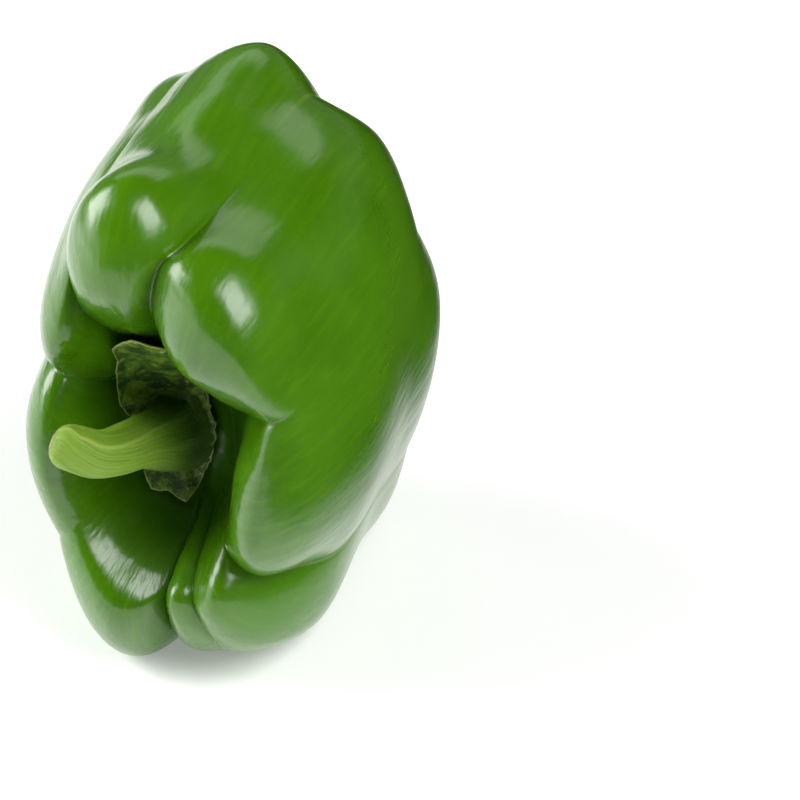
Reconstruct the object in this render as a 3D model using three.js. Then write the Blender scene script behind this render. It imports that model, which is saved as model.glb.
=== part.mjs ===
import * as THREE from "three";

// A bell pepper on its side: stem end to the front (-Y), blossom end to the back (+Y), lobes A and B on top.
// Millimetres and degrees. An angle is read round the axis from +X, with 90 at the top.

// Section: a circle made narrower and taller
const SECTION_WIDTH = 0.7;
const SECTION_HEIGHT = 1.08;

// Where the axis of the fruit runs: above the table, and in from the front
const AXIS_ABOVE_TABLE = 45.4;
const AXIS_SIDE = -3.484;
const AXIS_BACK = 49.246;

// Mesh of the fruit
const COLUMNS_PER_SIDE = 6;
const ROWS_PER_STATION = 5;

// Stations of a meridian, from the middle of the stem hollow over the shoulder to the blossom end
const STATIONS = [
  { name: "floor", radius: 0, height: 66, side: 0, up: -3 },
  { name: "edge", radius: 9.5, height: 65.5, side: 0, up: -3 },
  { name: "wall", radius: 16.5, height: 71, side: 0, up: -2 },
  { name: "lip", radius: 23.5, height: 83.5, side: 0, up: -1 },
  { name: "crest", radius: 33, height: 90, side: 0, up: 0 },
  { name: "shoulder", radius: 42.5, height: 83, side: 0, up: 1 },
  { name: "upper", radius: 47, height: 66, side: 1, up: 2 },
  { name: "middle", radius: 46, height: 46, side: 1, up: 3 },
  { name: "lower", radius: 41, height: 25, side: 1, up: 3 },
  { name: "heel", radius: 29, height: 7, side: 1, up: 2 },
  { name: "tip", radius: 14, height: 1, side: 1, up: 2 },
  { name: "dimple", radius: 0, height: 6, side: 1, up: 2 },
];
const LAST = STATIONS.length - 1;

// Lobes in the order of their angle. The factors scale the radius at the crest (rim), the belly (wide),
// the lower belly (low) and the heel. Rise and puff lift and swell the crest.
// The amounts in out and along shift one station away from the axis or along it.
const LOBES = [
  {
    name: "B", angle: 45, tip: 54, rim: 1.22, rise: 1, puff: 2, wide: 1, low: 1, heel: 1,
    out: { lip: 1 },
    along: { lip: -3 },
  },
  {
    name: "A", angle: 98, tip: 95, rim: 1.15, rise: 0, puff: 1, wide: 1.04, low: 1.08, heel: 1.04,
    out: { lip: 4, shoulder: 2 },
  },
  {
    name: "G", angle: 131, tip: 130, rim: 0.95, rise: -2, puff: 0, wide: 1.02, low: 1.07, heel: 1,
    out: { lip: 3, shoulder: -3, upper: -2, middle: 1, lower: 3 },
  },
  {
    name: "F", angle: 180, tip: 185, rim: 0.8, rise: -1, puff: 0, wide: 0.85, low: 0.98, heel: 1,
  },
  {
    name: "E", angle: 252, tip: 248, rim: 0.84, rise: 0, puff: 0.3, wide: 1, low: 1, heel: 1.1,
    out: { shoulder: 3, middle: 1.5, lower: 5 },
  },
  {
    name: "D", angle: 288, tip: 280, rim: 0.74, rise: -1, puff: 0, wide: 0.98, low: 1, heel: 1.1,
    out: { shoulder: 1.5, middle: 2, lower: 5.5 },
  },
  {
    name: "H", angle: 312, tip: 300, rim: 0.86, rise: 0, puff: 0, wide: 1.06, low: 1.08, heel: 1.08,
    out: { shoulder: 1, lower: 1.5 },
  },
  {
    name: "C", angle: 363, tip: 357, rim: 1.02, rise: 0, puff: 0.5, wide: 1, low: 1.07, heel: 1.07,
  },
];

// The crease after each lobe: its angle at the crest, at the belly and at the tip,
// then its depth and its sharpness at each station from the lip to the tip
const CREASES = [
  {
    after: "B", angle: 88, mid: 75, tip: 76,
    depth: [4, 7, 8, 5, 3, 3.5, 5, 3],
    sharp: [1, 1, 0.9, 0.3, 0, 0.2, 0.8, 1],
  },
  {
    after: "A", angle: 119, mid: 119, tip: 113,
    depth: [3, 5, 3, 1.5, 1, 2, 4, 3],
    sharp: [1, 1, 1, 0.5, 0.2, 0.4, 0.8, 1],
  },
  {
    after: "G", angle: 147, mid: 155, tip: 155,
    depth: [3, 7, 7, 5, 3, 3, 5, 3],
    sharp: [1, 1, 1, 0.5, 0.2, 0.4, 0.8, 1],
  },
  {
    after: "F", angle: 211, mid: 215, tip: 220,
    depth: [2, 4, 4, 3, 2, 2, 4, 3],
    sharp: [0.3, 0.3, 0.5, 0.5, 0.2, 0.4, 0.8, 1],
  },
  {
    after: "E", angle: 277, mid: 272, tip: 268,
    depth: [3, 7, 6, 5, 3, 3, 5, 3],
    sharp: [1, 1, 1, 0.5, 0.2, 0.4, 0.8, 1],
  },
  {
    after: "D", angle: 300, mid: 295, tip: 290,
    depth: [1, 2.5, 0.8, 0, 0, 0, 0, 0],
    sharp: [1, 1, 0.6, 0, 0, 0, 0, 0],
  },
  {
    after: "H", angle: 329, mid: 327, tip: 326, out: { lip: -2 },
    depth: [3, 8, 9, 5, 2.5, 3, 5, 3],
    sharp: [1, 1, 1, 0.6, 0.3, 0.4, 0.8, 1],
  },
  {
    after: "C", angle: 387, mid: 382, tip: 382, out: { lip: 5, wall: 1 },
    depth: [3, 5, 2, 0.5, 0, 1.5, 4, 3],
    sharp: [1, 1, 0.4, 0, 0, 0.3, 0.8, 1],
  },
];

// How upright the sides of a sharp crease stand, from 0 for a soft dome to 1 for a half circle
const CREASE_EDGE = 0.4;

// Swellings of the skin, and dents where the amount is negative. Forward moves the skin to the stem end.
const SWELLINGS = [
  { lobe: "A", across: 0, station: 6.3, size: 8, amount: -2.5, forward: 0 },
  { lobe: "A", across: 0, station: 7.9, size: 9, amount: 1, forward: 0 },
  { lobe: "B", across: 0.45, station: 3.4, size: 7, amount: -2, forward: 5 },
  { lobe: "B", across: 0, station: 5.8, size: 10, amount: -1.2, forward: 0 },
  { lobe: "C", across: -0.45, station: 3.6, size: 8, amount: -1.5, forward: 3 },
];

// Calyx: a thin green cup under the stem, with ragged tabs
const CALYX_COLUMNS = 96;
const CALYX_ROWS = 14;
const CALYX_HEIGHT = 66.45;
const CALYX_THICKNESS = 1.4;
const CALYX_SIDE = -2.5;
const CALYX_UP = -2;
const CALYX_FLAT = 4.5;
const CALYX_CURL = 1.4;
const CALYX_CORNERS = [
  { angle: 0, reach: 7.3, rise: 0.3 },
  { angle: 36, reach: 7.9, rise: 0.3 },
  { angle: 60, reach: 11.5, rise: 0.8 },
  { angle: 74, reach: 21, rise: 7.8 },
  { angle: 85, reach: 26.4, rise: 15.6 },
  { angle: 90, reach: 27.6, rise: 17 },
  { angle: 104, reach: 22.9, rise: 13.4 },
  { angle: 108, reach: 19.2, rise: 10.8 },
  { angle: 118, reach: 15.2, rise: 8.8 },
  { angle: 128, reach: 12.2, rise: 7.5 },
  { angle: 142, reach: 9.7, rise: 6.5 },
  { angle: 165, reach: 6.6, rise: 3.4 },
  { angle: 195, reach: 6, rise: 2.6 },
  { angle: 225, reach: 7.8, rise: 3 },
  { angle: 248, reach: 11.6, rise: 4.9 },
  { angle: 252, reach: 12.2, rise: 5 },
  { angle: 265, reach: 12.4, rise: 3.2 },
  { angle: 280, reach: 14.2, rise: 3.2 },
  { angle: 288, reach: 12.3, rise: 0.9 },
  { angle: 299, reach: 9.9, rise: 0.4 },
  { angle: 337, reach: 7.2, rise: 0.3 },
];

// Stem: a ribbed stalk that leaves the calyx and bends to the side and up
const STEM_COLUMNS = 40;
const STEM_ROWS = 22;
const STEM_RIBS = 5;
const STEM_RIB_DEPTH = 0.05;
const STEM_DOME = 0.5;
const STEM_BASE_SQUASH = 0.7;
const STEM_PATH = [
  [-2.2, 68.9, -2.2],
  [-2.3, 71.8, -1.8],
  [-2.7, 76.5, 0.6],
  [-3.3, 82, 3.4],
  [-5, 88, 5],
  [-6.9, 91.6, 6.3],
  [-9.5, 93, 7.4],
  [-13.3, 93.5, 8.5],
];
const STEM_RADII = [6.6, 6.2, 5.3, 4.6, 4.3, 4.2, 4.2, 3.6];

const radians = (degrees) => (degrees * Math.PI) / 180;
const ease = (t) => t * t * (3 - 2 * t);
const clamp01 = (t) => Math.min(Math.max(t, 0), 1);
const mix = (from, to, t) => from + (to - from) * t;
const stationIndex = (name) => STATIONS.findIndex((station) => station.name === name);

// A smooth curve through equally spaced values, read at t
function curveThrough(values, t) {
  const last = values.length - 1;
  const i = Math.min(Math.max(Math.floor(t), 0), last - 1);
  const f = t - i;
  const p1 = values[i];
  const p2 = values[i + 1];
  const p0 = i > 0 ? values[i - 1] : 2 * p1 - p2;
  const p3 = i < last - 1 ? values[i + 2] : 2 * p2 - p1;
  const a = p2 - p0;
  const b = 2 * p0 - 5 * p1 + 4 * p2 - p3;
  const c = 3 * p1 - p0 - 3 * p2 + p3;
  return 0.5 * (2 * p1 + a * f + b * f * f + c * f * f * f);
}

// Radius and height at every station along the middle of a lobe
function lobeMeridian(lobe) {
  const swing = lobe.rim - 1;
  const wall = 1 + swing * (swing < 0 ? 0.5 : 0.1);
  const lip = 1 + swing * (swing < 0 ? 0.8 : 0.3);
  const belly = lobe.wide;
  const shoulder = (lobe.rim + belly) / 2;
  const factors = [1, 1, wall, lip, lobe.rim, shoulder, belly, belly, belly * lobe.low, lobe.heel, 1, 1];
  const lift = [0, 0, 0, 0.7 * lobe.rise, lobe.rise, 0.6 * lobe.rise, 0, 0, 0, 0, 0, 0];
  const radius = STATIONS.map((station, k) => station.radius * factors[k]);
  const height = STATIONS.map((station, k) => station.height + lift[k]);
  const centre = new THREE.Vector2(radius[4] - 2, 76);
  for (const k of [3, 4, 5]) {
    const away = new THREE.Vector2(radius[k], height[k]).sub(centre).setLength(lobe.puff || 1e-9);
    radius[k] += away.x;
    height[k] += away.y;
  }
  for (const [name, amount] of Object.entries(lobe.out ?? {})) {
    radius[stationIndex(name)] += amount;
  }
  for (const [name, amount] of Object.entries(lobe.along ?? {})) {
    height[stationIndex(name)] += amount;
  }
  return { radius, height };
}

// Radius and height at every station along the bottom of a crease, pressed in from the mean of its two lobes
function creaseMeridian(before, after, crease) {
  const radius = before.radius.map((value, k) => (value + after.radius[k]) / 2);
  const height = before.height.map((value, k) => (value + after.height[k]) / 2);
  const depth = [0, 0, 0.4 * crease.depth[0], ...crease.depth, 0];
  const slope = (values, k) => {
    const from = Math.max(k - 1, 0);
    const to = Math.min(k + 1, LAST);
    return (values[to] - values[from]) / (to - from);
  };
  const pressed = radius.map((value, k) => {
    const normal = new THREE.Vector2(-slope(height, k), slope(radius, k)).normalize();
    return [value - depth[k] * normal.x, height[k] - depth[k] * normal.y];
  });
  for (const [name, amount] of Object.entries(crease.out ?? {})) {
    pressed[stationIndex(name)][0] += amount;
  }
  return { radius: pressed.map((p) => Math.max(p[0], 0)), height: pressed.map((p) => p[1]) };
}

const lobeMeridians = LOBES.map(lobeMeridian);
const creaseMeridians = CREASES.map((crease, i) =>
  creaseMeridian(lobeMeridians[i], lobeMeridians[(i + 1) % LOBES.length], crease),
);

// The angle of a lobe's middle and of a crease at station s
function lobeAngle(lobe, s) {
  return lobe.angle + (lobe.tip - lobe.angle) * ease(clamp01((s - 3) / (LAST - 3)));
}
function creaseAngle(crease, s) {
  const toMid = ease(clamp01((s - 2.5) / 3));
  const toTip = ease(clamp01((s - 6.5) / (LAST - 6.5)));
  return crease.angle + (crease.mid - crease.angle) * toMid + (crease.tip - crease.mid) * toTip;
}

// A point of the section, in the frame of the part
function placed(angle, radius, height, side, up) {
  return new THREE.Vector3(
    AXIS_SIDE + side + radius * Math.cos(radians(angle)) * SECTION_WIDTH,
    AXIS_BACK - height,
    AXIS_ABOVE_TABLE + up + radius * Math.sin(radians(angle)) * SECTION_HEIGHT,
  );
}

// A point of the skin. Across runs from -1 at the crease before the lobe to 1 at the crease after it.
function skinPoint(index, across, s) {
  const lobe = LOBES[index];
  const creaseIndex = across < 0 ? (index + LOBES.length - 1) % LOBES.length : index;
  const crease = CREASES[creaseIndex];
  const inward = 1 - Math.abs(across);
  const sharp = clamp01(curveThrough([0, 0.5, crease.sharp[0], ...crease.sharp, 1], s));
  const dome = 1 - (1 - inward) ** 2;
  const cusp = mix(dome, Math.sqrt(dome), CREASE_EDGE);
  const smooth = 0.5 - 0.5 * Math.cos(Math.PI * inward);
  const share = mix(smooth, cusp, sharp);
  const crest = lobeMeridians[index];
  const valley = creaseMeridians[creaseIndex];
  const radius = mix(curveThrough(valley.radius, s), curveThrough(crest.radius, s), share);
  const height = mix(curveThrough(valley.height, s), curveThrough(crest.height, s), share);
  const middle = lobeAngle(lobe, s);
  const turn = across < 0 && index === 0 ? -360 : 0;
  const angle = mix(creaseAngle(crease, s) + turn, middle, inward);
  const side = curveThrough(STATIONS.map((station) => station.side), s);
  const up = curveThrough(STATIONS.map((station) => station.up), s);
  return placed(angle, Math.max(radius, 0), height, side, up);
}

// Moves a point of the skin by the swellings, away from the axis at the swelling's middle and forward
function swell(point) {
  const moved = point.clone();
  for (const swelling of SWELLINGS) {
    const index = LOBES.findIndex((lobe) => lobe.name === swelling.lobe);
    const centre = skinPoint(index, swelling.across, swelling.station);
    const away = new THREE.Vector3(centre.x - AXIS_SIDE, 0, centre.z - AXIS_ABOVE_TABLE).normalize();
    const share = Math.exp(-point.distanceToSquared(centre) / (2 * swelling.size ** 2));
    moved.addScaledVector(away, swelling.amount * share);
    moved.y -= swelling.forward * share;
  }
  return moved;
}

function part(name, geometry, colour, roughness) {
  const material = new THREE.MeshStandardMaterial({ color: colour, roughness });
  const mesh = new THREE.Mesh(geometry, material);
  mesh.name = name;
  return mesh;
}

// Fruit: a sphere whose columns follow the lobes and creases and whose rows follow the stations
function fruit() {
  const columns = LOBES.length * 2 * COLUMNS_PER_SIDE;
  const rows = LAST * ROWS_PER_STATION;
  const geometry = new THREE.SphereGeometry(1, columns, rows);
  const position = geometry.getAttribute("position");
  for (let k = 0; k < position.count; k++) {
    const column = (k % (columns + 1)) % columns;
    const row = Math.floor(k / (columns + 1));
    const index = Math.floor(column / (2 * COLUMNS_PER_SIDE));
    const across = (column % (2 * COLUMNS_PER_SIDE)) / COLUMNS_PER_SIDE - 1;
    const point = swell(skinPoint(index, across, row / ROWS_PER_STATION));
    position.setXYZ(k, point.x, point.y, Math.max(point.z, 0));
  }
  return part("fruit", geometry, 0x3f7d12, 0.25);
}

// Reach and rise of the calyx rim, read between its corners
function rimAt(angle) {
  const turn = THREE.MathUtils.euclideanModulo(angle, 360);
  const index = CALYX_CORNERS.findLastIndex((corner) => corner.angle <= turn);
  const from = CALYX_CORNERS[index];
  const to = CALYX_CORNERS[(index + 1) % CALYX_CORNERS.length];
  const t = (turn - from.angle) / THREE.MathUtils.euclideanModulo(to.angle - from.angle, 360);
  return { reach: mix(from.reach, to.reach, t), rise: mix(from.rise, to.rise, t) };
}

// Calyx: a flattened sphere whose rim runs through the corners and whose outer part curls up
function calyx() {
  const geometry = new THREE.SphereGeometry(1, CALYX_COLUMNS, CALYX_ROWS);
  const position = geometry.getAttribute("position");
  for (let k = 0; k < position.count; k++) {
    const angle = THREE.MathUtils.radToDeg(Math.atan2(-position.getZ(k), position.getX(k)));
    const share = Math.min(Math.hypot(position.getX(k), position.getZ(k)), 1);
    const rim = rimAt(angle);
    const radius = rim.reach * share;
    const level = position.getY(k);
    const half = (CALYX_THICKNESS / 2) * Math.sign(level) * Math.abs(level) ** 0.35;
    const past = Math.max(radius - CALYX_FLAT, 0) / (rim.reach - CALYX_FLAT);
    const height = CALYX_HEIGHT + CALYX_THICKNESS / 2 + rim.rise * past ** CALYX_CURL + half;
    position.setXYZ(
      k,
      AXIS_SIDE + CALYX_SIDE + radius * Math.cos(radians(angle)),
      AXIS_BACK - height,
      AXIS_ABOVE_TABLE + CALYX_UP + radius * Math.sin(radians(angle)),
    );
  }
  return part("calyx", geometry, 0x2c4a12, 0.6);
}

// Stem: a capped cylinder bent along its path, with ribs and a domed cut end
function stem() {
  const path = new THREE.CatmullRomCurve3(
    STEM_PATH.map(
      ([x, height, z]) => new THREE.Vector3(AXIS_SIDE + x, AXIS_BACK - height, AXIS_ABOVE_TABLE + z),
    ),
  );
  const geometry = new THREE.CylinderGeometry(1, 1, 1, STEM_COLUMNS, STEM_ROWS);
  const position = geometry.getAttribute("position");
  const sideways = new THREE.Vector3(1, 0, 0);
  for (let k = 0; k < position.count; k++) {
    const along = clamp01(position.getY(k) + 0.5);
    const share = Math.hypot(position.getX(k), position.getZ(k));
    const angle = Math.atan2(position.getZ(k), position.getX(k));
    const ribs = 1 + STEM_RIB_DEPTH * Math.cos(STEM_RIBS * angle) * ease(clamp01(4 * along));
    const radius = share * ribs * curveThrough(STEM_RADII, along * (STEM_RADII.length - 1));
    const tangent = along === 0 ? new THREE.Vector3(0, -1, 0) : path.getTangent(along);
    const first = new THREE.Vector3().crossVectors(tangent, sideways).normalize();
    const second = new THREE.Vector3().crossVectors(tangent, first);
    const point = path.getPoint(along);
    point.addScaledVector(first, radius * Math.sin(angle));
    const squash = STEM_BASE_SQUASH + (1 - STEM_BASE_SQUASH) * ease(clamp01(3 * along));
    point.addScaledVector(second, radius * Math.cos(angle) * squash);
    if (share < 0.5 && along === 1) {
      point.addScaledVector(tangent, STEM_DOME);
    }
    position.setXYZ(k, point.x, point.y, point.z);
  }
  return part("stem", geometry, 0x8fae3c, 0.7);
}

const pepper = new THREE.Group();
pepper.name = "bell_pepper";
pepper.add(fruit(), calyx(), stem());

export default pepper;
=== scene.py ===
"""A green bell pepper lying on its side, with its calyx and stem, on a pale floor."""

import logging
import math
from dataclasses import dataclass, field
from enum import Enum

import bmesh
import bpy
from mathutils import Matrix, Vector, noise


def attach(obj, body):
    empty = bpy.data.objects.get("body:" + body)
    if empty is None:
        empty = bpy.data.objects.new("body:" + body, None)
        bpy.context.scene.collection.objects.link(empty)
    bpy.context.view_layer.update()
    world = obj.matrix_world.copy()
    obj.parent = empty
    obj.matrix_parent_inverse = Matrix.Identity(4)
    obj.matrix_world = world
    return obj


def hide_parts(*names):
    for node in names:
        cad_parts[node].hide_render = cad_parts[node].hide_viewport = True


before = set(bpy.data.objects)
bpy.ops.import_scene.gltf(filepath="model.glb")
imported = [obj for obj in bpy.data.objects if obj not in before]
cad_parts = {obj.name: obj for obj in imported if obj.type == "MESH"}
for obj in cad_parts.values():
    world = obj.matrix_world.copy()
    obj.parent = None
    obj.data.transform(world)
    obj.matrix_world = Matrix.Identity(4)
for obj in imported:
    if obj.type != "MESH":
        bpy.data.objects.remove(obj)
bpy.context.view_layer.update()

LOG = logging.getLogger("bell_pepper")
MM = 0.001

# Sockets of a Mix node, which share their names: share, first and second, then the result
MIX_NUMBER_INPUTS = (0, 2, 3)
MIX_NUMBER_OUTPUT = 0
MIX_COLOUR_INPUTS = (0, 6, 7)
MIX_COLOUR_OUTPUT = 2
RANGE_INPUTS = ("From Min", "From Max", "To Min", "To Max")

# The section of the fruit is a circle made narrower and taller
SECTION_WIDTH = 0.7
SECTION_HEIGHT = 1.08

# Where the axis of the fruit runs, in millimetres
AXIS_ABOVE_TABLE = 45.4
AXIS_SIDE = -3.484
AXIS_BACK = 49.246


def ease(t: float) -> float:
    """Gives a soft step from 0 to 1, flat before 0 and after 1."""
    t = min(max(t, 0.0), 1.0)
    return t * t * (3 - 2 * t)


def ease_between(ends: tuple[float, float], t: float) -> float:
    """Gives a soft step from 0 to 1 that starts and ends at two given values."""
    start, end = ends
    return ease((t - start) / (end - start))


def mix(first: float, second: float, share: float) -> float:
    """Gives the value a share of the way from one number to another."""
    return first + (second - first) * share


def curve_through(values: list[float] | tuple[float, ...], t: float) -> float:
    """Reads a smooth curve through equally spaced values.

    Args:
        values: The values at 0, 1, 2 and so on.
        t: Where to read the curve.

    Returns:
        The value of the curve at t.
    """
    last = len(values) - 1
    i = min(max(math.floor(t), 0), last - 1)
    f = t - i
    p1, p2 = values[i], values[i + 1]
    p0 = values[i - 1] if i > 0 else 2 * p1 - p2
    p3 = values[i + 2] if i < last - 1 else 2 * p2 - p1
    a = p2 - p0
    b = 2 * p0 - 5 * p1 + 4 * p2 - p3
    c = 3 * p1 - p0 - 3 * p2 + p3
    return 0.5 * (2 * p1 + a * f + b * f * f + c * f * f * f)


def bump_at(away: float, width: float) -> float:
    """Gives a soft bump that is 1 at its centre and about a third at a width away from it."""
    return math.exp(-((away / width) ** 2))


def turn_between(angle: float, other: float) -> float:
    """Gives the shortest turn to an angle from another one, from -180 to 180 degrees."""
    return (angle - other + 180) % 360 - 180


def placed(angle: float, radius: float, height: float, side: float, up: float) -> Vector:
    """Places a point of the section in the frame of the part.

    Args:
        angle: The angle round the axis from +X, with 90 at the top, in degrees.
        radius: The distance from the axis before the section is squashed.
        height: The distance from the blossom end along the axis.
        side: A shift to +X.
        up: A shift upwards.

    Returns:
        The point, in millimetres.
    """
    turn = math.radians(angle)
    return Vector(
        (
            AXIS_SIDE + side + radius * math.cos(turn) * SECTION_WIDTH,
            AXIS_BACK - height,
            AXIS_ABOVE_TABLE + up + radius * math.sin(turn) * SECTION_HEIGHT,
        )
    )


def linear(red: float, green: float, blue: float) -> tuple[float, float, float, float]:
    """Turns a colour given as 0 to 255 into the linear numbers that a socket takes.

    Args:
        red: The red of the colour.
        green: The green of the colour.
        blue: The blue of the colour.

    Returns:
        The linear colour with full alpha.
    """

    def one(value: float) -> float:
        """Turns one channel to linear by the sRGB curve."""
        share = value / 255
        return share / 12.92 if share <= 0.04045 else ((share + 0.055) / 1.055) ** 2.4

    return (one(red), one(green), one(blue), 1.0)


class Node(Enum):
    """The nodes of the part that the pieces stand for."""

    FRUIT = "fruit"
    CALYX = "calyx"
    STEM = "stem"


class Slot(Enum):
    """The material slots of the part."""

    SKIN = "skin"
    CALYX = "calyx"
    STEM = "stem"


Socket = bpy.types.NodeSocket
Value = float | tuple[float, ...] | Socket
Triple = tuple[float, float, float]
Meridian = tuple[list[float], list[float]]


@dataclass(frozen=True)
class Pattern:
    """A soft random pattern: how fine it is, its finer layers, their strength and how it is stretched."""

    scale: float
    detail: float = 3.0
    rough: float = 0.5
    stretch: Triple = (1.0, 1.0, 1.0)


@dataclass(frozen=True)
class Spread:
    """A range of values, and the range that it is spread onto."""

    low: float
    high: float
    start: float = 0.0
    end: float = 1.0


@dataclass(frozen=True)
class Tint:
    """A colour that lies over the ones below, and how its share follows a value."""

    colour: Triple
    share: Spread


@dataclass(frozen=True)
class Relief:
    """How a pattern stands out of the surface: its depth in metres and how much of it shows."""

    depth: float
    strength: float | Spread


class Finish:
    """A material under construction, with short ways to add and join its nodes."""

    def __init__(self, name: str) -> None:
        """Starts an empty material with one shader.

        Args:
            name: The name of the material.
        """
        self.material = bpy.data.materials.new(name)
        self.material.use_nodes = True
        self.tree = self.material.node_tree
        self.shader = self.tree.nodes["Principled BSDF"]

    def set(self, socket: Socket, value: Value) -> None:
        """Links a socket to another, or sets its own value.

        Args:
            socket: The socket to feed.
            value: A socket, a number or a colour.
        """
        if isinstance(value, Socket):
            self.tree.links.new(value, socket)
        else:
            socket.default_value = value

    def shade(self, **values: Value) -> None:
        """Sets inputs of the shader by name, with underscores for spaces.

        Args:
            values: The value of each input.
        """
        for name, value in values.items():
            self.set(self.shader.inputs[name.replace("_", " ").title().replace("Ior", "IOR")], value)

    def object_place(self) -> Socket:
        """Gives the place on the object."""
        return self.tree.nodes.new("ShaderNodeTexCoord").outputs["Object"]

    def attribute(self, name: str, vector: bool = False) -> Socket:
        """Reads a value stored on the mesh.

        Args:
            name: The name of the attribute.
            vector: Whether it has three numbers.

        Returns:
            The socket that holds it.
        """
        node = self.tree.nodes.new("ShaderNodeAttribute")
        node.attribute_name = name
        return node.outputs["Vector" if vector else "Fac"]

    def mapped(self, place: Socket, scale: Triple = (1, 1, 1), shift: Triple = (0, 0, 0)) -> Socket:
        """Scales and shifts a place.

        Args:
            place: The place to change.
            scale: The factor along each direction.
            shift: The shift along each direction.

        Returns:
            The changed place.
        """
        node = self.tree.nodes.new("ShaderNodeMapping")
        self.set(node.inputs["Vector"], place)
        node.inputs["Scale"].default_value = scale
        node.inputs["Location"].default_value = shift
        return node.outputs["Vector"]

    def speckle(self, place: Socket, pattern: Pattern) -> Socket:
        """Adds a soft random pattern.

        Args:
            place: Where the pattern is read.
            pattern: The pattern.

        Returns:
            The pattern, about 0 to 1.
        """
        node = self.tree.nodes.new("ShaderNodeTexNoise")
        self.set(node.inputs["Vector"], self.mapped(place, scale=pattern.stretch))
        node.inputs["Scale"].default_value = pattern.scale
        node.inputs["Detail"].default_value = pattern.detail
        node.inputs["Roughness"].default_value = pattern.rough
        return node.outputs["Fac"]

    def pores(self, place: Socket, scale: float) -> Socket:
        """Adds a pattern of small cells.

        Args:
            place: Where the pattern is read.
            scale: How fine it is.

        Returns:
            The distance from the middle of each cell.
        """
        node = self.tree.nodes.new("ShaderNodeTexVoronoi")
        self.set(node.inputs["Vector"], place)
        node.inputs["Scale"].default_value = scale
        return node.outputs["Distance"]

    def levels(self, value: Value, spread: Spread) -> Socket:
        """Spreads a range of values onto another, with soft ends.

        Args:
            value: The value to spread.
            spread: Both ranges.

        Returns:
            The spread value.
        """
        node = self.tree.nodes.new("ShaderNodeMapRange")
        node.interpolation_type = "SMOOTHSTEP"
        self.set(node.inputs["Value"], value)
        for name, number in zip(RANGE_INPUTS, (spread.low, spread.high, spread.start, spread.end)):
            node.inputs[name].default_value = number
        return node.outputs["Result"]

    def product(self, first: Value, second: Value) -> Socket:
        """Multiplies two values.

        Args:
            first: The first value.
            second: The second value.

        Returns:
            The product.
        """
        node = self.tree.nodes.new("ShaderNodeMath")
        node.operation = "MULTIPLY"
        self.set(node.inputs[0], first)
        self.set(node.inputs[1], second)
        return node.outputs["Value"]

    def tinted(self, below: Value, value: Value, tint: Tint) -> Socket:
        """Lays a tint over a colour.

        Args:
            below: The colour below.
            value: The value that the share of the tint follows.
            tint: The tint.

        Returns:
            The colour that results.
        """
        node = self.tree.nodes.new("ShaderNodeMix")
        node.data_type = "RGBA"
        share = self.levels(value, tint.share)
        for index, number in zip(MIX_COLOUR_INPUTS, (share, below, linear(*tint.colour))):
            self.set(node.inputs[index], number)
        return node.outputs[MIX_COLOUR_OUTPUT]

    def raised(
        self, height: Socket, relief: Relief, below: Socket | None = None, value: Value = 1.0
    ) -> Socket:
        """Makes a pattern stand out of the surface.

        Args:
            height: The pattern.
            relief: How it stands out.
            below: A relief that this one lies on.
            value: The value that the strength follows, if it follows one.

        Returns:
            The changed surface direction.
        """
        spread = isinstance(relief.strength, Spread)
        strength = self.levels(value, relief.strength) if spread else relief.strength
        node = self.tree.nodes.new("ShaderNodeBump")
        self.set(node.inputs["Strength"], strength)
        node.inputs["Distance"].default_value = relief.depth
        self.set(node.inputs["Height"], height)
        if below is not None:
            self.set(node.inputs["Normal"], below)
        return node.outputs["Normal"]


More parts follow.
